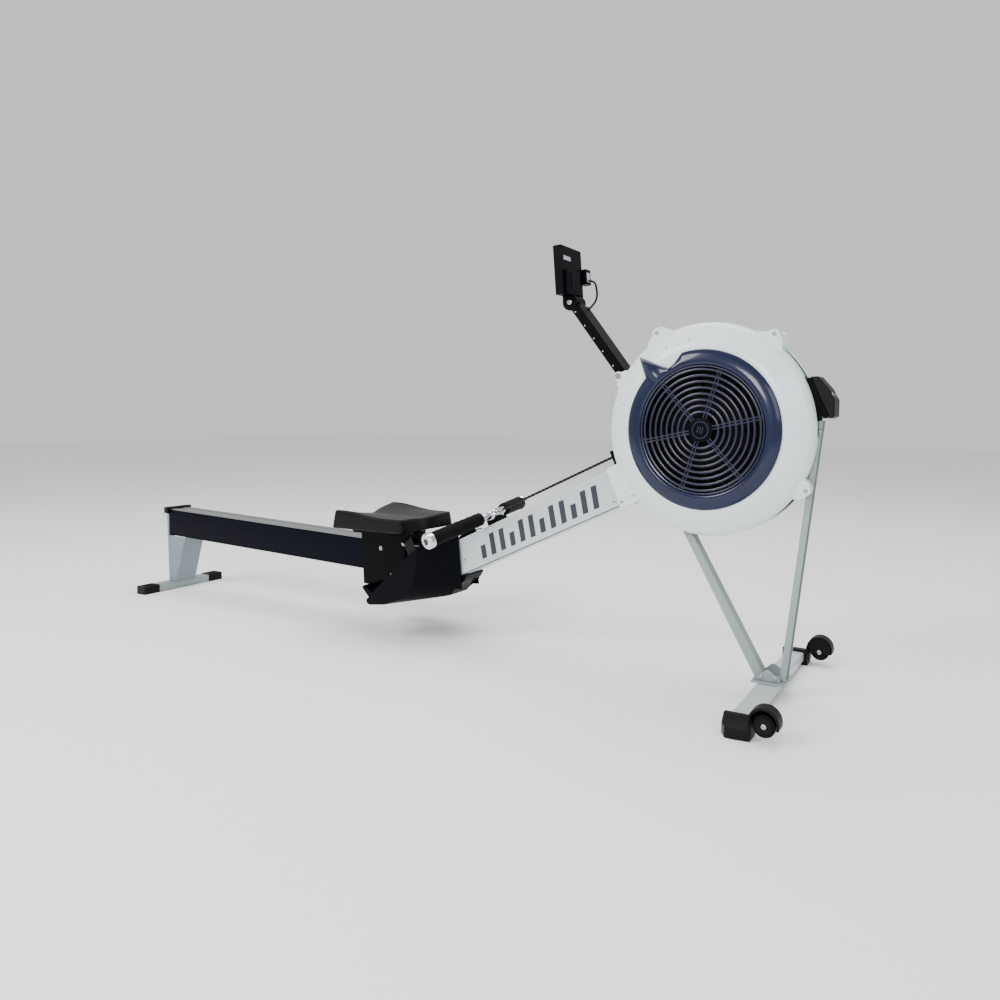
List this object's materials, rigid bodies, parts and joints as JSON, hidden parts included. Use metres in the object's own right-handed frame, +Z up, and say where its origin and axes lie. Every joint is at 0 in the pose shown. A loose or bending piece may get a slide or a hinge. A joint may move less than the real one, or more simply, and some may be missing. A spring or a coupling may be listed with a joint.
{
  "type": "rowing machine",
  "caption": "Air-resistance rowing machine: sliding seat on a level rail, footrests, caged flywheel, pull handle on a chain and a monitor on an arm.",
  "frame": {"origin": "on the floor under the middle of the machine's overall length and width", "axes": "+X towards the flywheel, +Y to the rower's left, +Z up"},
  "size_m": [2.455, 0.612, 1.1356],
  "materials": {
    "silver_paint": "satin",
    "grey_paint": "satin",
    "rail_black": "satin",
    "track_steel": "brushed",
    "black_steel": "satin",
    "bare_steel": "ground",
    "chain_steel": "oiled",
    "chrome": "polished",
    "shell_plastic": "satin",
    "screen_steel": "satin",
    "navy_plastic": "gloss",
    "grille_plastic": "satin",
    "black_plastic": "moulded",
    "cap_rubber": "matte",
    "seat_foam": "moulded foam",
    "grip_foam": "foam",
    "cord_rubber": "sheathed",
    "strap_webbing": "woven",
    "display": "gloss"
  },
  "bodies": {
    "frame": {"main_beam": "silver_paint", "front_foot_bar": "silver_paint", "bumper_bracket": "silver_paint", "rear_foot_bar": "grey_paint", "rear_leg": "grey_paint", "strut_base_plate": "grey_paint", "rear_strut": "grey_paint", "front_strut": "grey_paint", "monorail": "rail_black", "frame_joint_bracket": "rail_black", "rail_track": "track_steel", "axle_plate_right": "black_steel", "axle_plate_left": "black_steel", "axle_bearing_right": "bare_steel", "axle_bearing_left": "bare_steel", "footrest_crossbar": "bare_steel", "monitor_arm_bolt": "bare_steel", "chain_return_run": "chain_steel", "cage_shell_right": "shell_plastic", "cage_shell_left": "shell_plastic", "cage_screen": "screen_steel", "fan_grille": "grille_plastic", "handle_rest": "black_plastic", "chain_guide": "black_plastic", "footplate_right": "black_plastic", "footplate_left": "black_plastic", "rear_foot_cap_right": "cap_rubber", "rear_foot_cap_left": "cap_rubber", "rail_end_stop": "cap_rubber", "front_foot_cap_right": "cap_rubber", "front_foot_cap_left": "cap_rubber", "front_bumper": "cap_rubber", "shock_cord": "cord_rubber", "foot_strap_right": "strap_webbing", "foot_strap_left": "strap_webbing"},
    "seat": {"seat_pad": "seat_foam", "seat_carriage": "rail_black"},
    "wheelset_rear": {"seat_wheelset_rear": "black_plastic"},
    "wheelset_front": {"seat_wheelset_front": "black_plastic"},
    "guide_roller": {"seat_guide_roller": "black_plastic"},
    "handle": {"handle_bar": "chrome", "handle_grip_right": "grip_foam", "handle_grip_left": "grip_foam", "drive_chain": "chain_steel"},
    "fan": {"flywheel": "black_steel", "flywheel_axle": "bare_steel"},
    "sprocket": {"chain_sprocket": "bare_steel"},
    "pulley": {"cord_pulley": "black_plastic"},
    "damper": {"damper_ring": "navy_plastic"},
    "arm": {"monitor_arm": "black_steel", "sensor_cable": "cord_rubber"},
    "monitor": {"monitor_case": "black_plastic", "monitor_screen": "display"},
    "button_right": {"monitor_button_right": "cap_rubber"},
    "button_middle": {"monitor_button_middle": "cap_rubber"},
    "button_left": {"monitor_button_left": "cap_rubber"},
    "heel_right": {"heel_cup_right": "black_plastic"},
    "heel_left": {"heel_cup_left": "black_plastic"},
    "caster_right": {"caster_wheel_right": "black_plastic"},
    "caster_left": {"caster_wheel_left": "black_plastic"}
  },
  "joints": [
    {"name": "seat_slide", "type": "slide", "parent": "frame", "child": "seat", "axis": [-0.9997, 0, 0.025], "range_m": [0, 0.868]},
    {"name": "wheelset_rear_spin", "type": "hinge", "parent": "seat", "child": "wheelset_rear", "pos_m": [-0.18844, 0, 0.29478], "axis": [0, 1, 0], "continuous": true},
    {"name": "wheelset_front_spin", "type": "hinge", "parent": "seat", "child": "wheelset_front", "pos_m": [-0.06148, 0, 0.2916], "axis": [0, 1, 0], "continuous": true},
    {"name": "guide_roller_spin", "type": "hinge", "parent": "seat", "child": "guide_roller", "pos_m": [-0.18166, 0, 0.16577], "axis": [0, 1, 0], "continuous": true},
    {"name": "handle_pull", "type": "slide", "parent": "frame", "child": "handle", "axis": [-0.96, 0, 0.28], "range_m": [0, 0.9], "stiffness_N_per_m": 15, "springref_m": -2, "deforming": ["drive_chain"]},
    {"name": "sprocket_spin", "type": "hinge", "parent": "frame", "child": "sprocket", "pos_m": [0.92649, 0, 0.64701], "axis": [0, 1, 0], "continuous": true},
    {"name": "pulley_spin", "type": "hinge", "parent": "frame", "child": "pulley", "pos_m": [0.2377, 0, 0.29978], "axis": [0, 1, 0], "continuous": true},
    {"name": "flywheel_spin", "type": "hinge", "parent": "frame", "child": "fan", "pos_m": [0.92649, 0, 0.64701], "axis": [0, 1, 0], "continuous": true},
    {"name": "damper_turn", "type": "hinge", "parent": "frame", "child": "damper", "pos_m": [0.92649, 0, 0.64701], "axis": [0, -1, 0], "range_deg": [-12, 60]},
    {"name": "monitor_arm_tilt", "type": "hinge", "parent": "frame", "child": "arm", "pos_m": [0.6855, 0, 0.782], "axis": [0, 1, 0], "range_deg": [-50, 10]},
    {"name": "monitor_tilt", "type": "hinge", "parent": "arm", "child": "monitor", "pos_m": [0.52745, 0, 0.98466], "axis": [0, 1, 0], "range_deg": [-25, 25], "deforming": ["sensor_cable"]},
    {"name": "button_right_press", "type": "slide", "parent": "monitor", "child": "button_right", "axis": [0.9968, 0, 0.0799], "range_m": [0, 0.0015], "stiffness_N_per_m": 400, "springref_m": -0.001},
    {"name": "button_middle_press", "type": "slide", "parent": "monitor", "child": "button_middle", "axis": [0.9968, 0, 0.0799], "range_m": [0, 0.0015], "stiffness_N_per_m": 400, "springref_m": -0.001},
    {"name": "button_left_press", "type": "slide", "parent": "monitor", "child": "button_left", "axis": [0.9968, 0, 0.0799], "range_m": [0, 0.0015], "stiffness_N_per_m": 400, "springref_m": -0.001},
    {"name": "heel_right_slide", "type": "slide", "parent": "frame", "child": "heel_right", "axis": [0.7431, 0, 0.6691], "range_m": [0, 0.05]},
    {"name": "heel_left_slide", "type": "slide", "parent": "frame", "child": "heel_left", "axis": [0.7431, 0, 0.6691], "range_m": [0, 0.05]},
    {"name": "caster_right_spin", "type": "hinge", "parent": "frame", "child": "caster_right", "pos_m": [1.1485, -0.284, 0.038], "axis": [0, 1, 0], "continuous": true},
    {"name": "caster_left_spin", "type": "hinge", "parent": "frame", "child": "caster_left", "pos_m": [1.1485, 0.284, 0.038], "axis": [0, 1, 0], "continuous": true}
  ],
  "couplings": [
    {"joint": "wheelset_rear_spin", "follows": "seat_slide", "rad_per_m": -66.667},
    {"joint": "wheelset_front_spin", "follows": "seat_slide", "rad_per_m": -66.667},
    {"joint": "guide_roller_spin", "follows": "seat_slide", "rad_per_m": 83.333},
    {"joint": "sprocket_spin", "follows": "handle_pull", "rad_per_m": -22.422},
    {"joint": "pulley_spin", "follows": "handle_pull", "rad_per_m": -20.762}
  ]
}
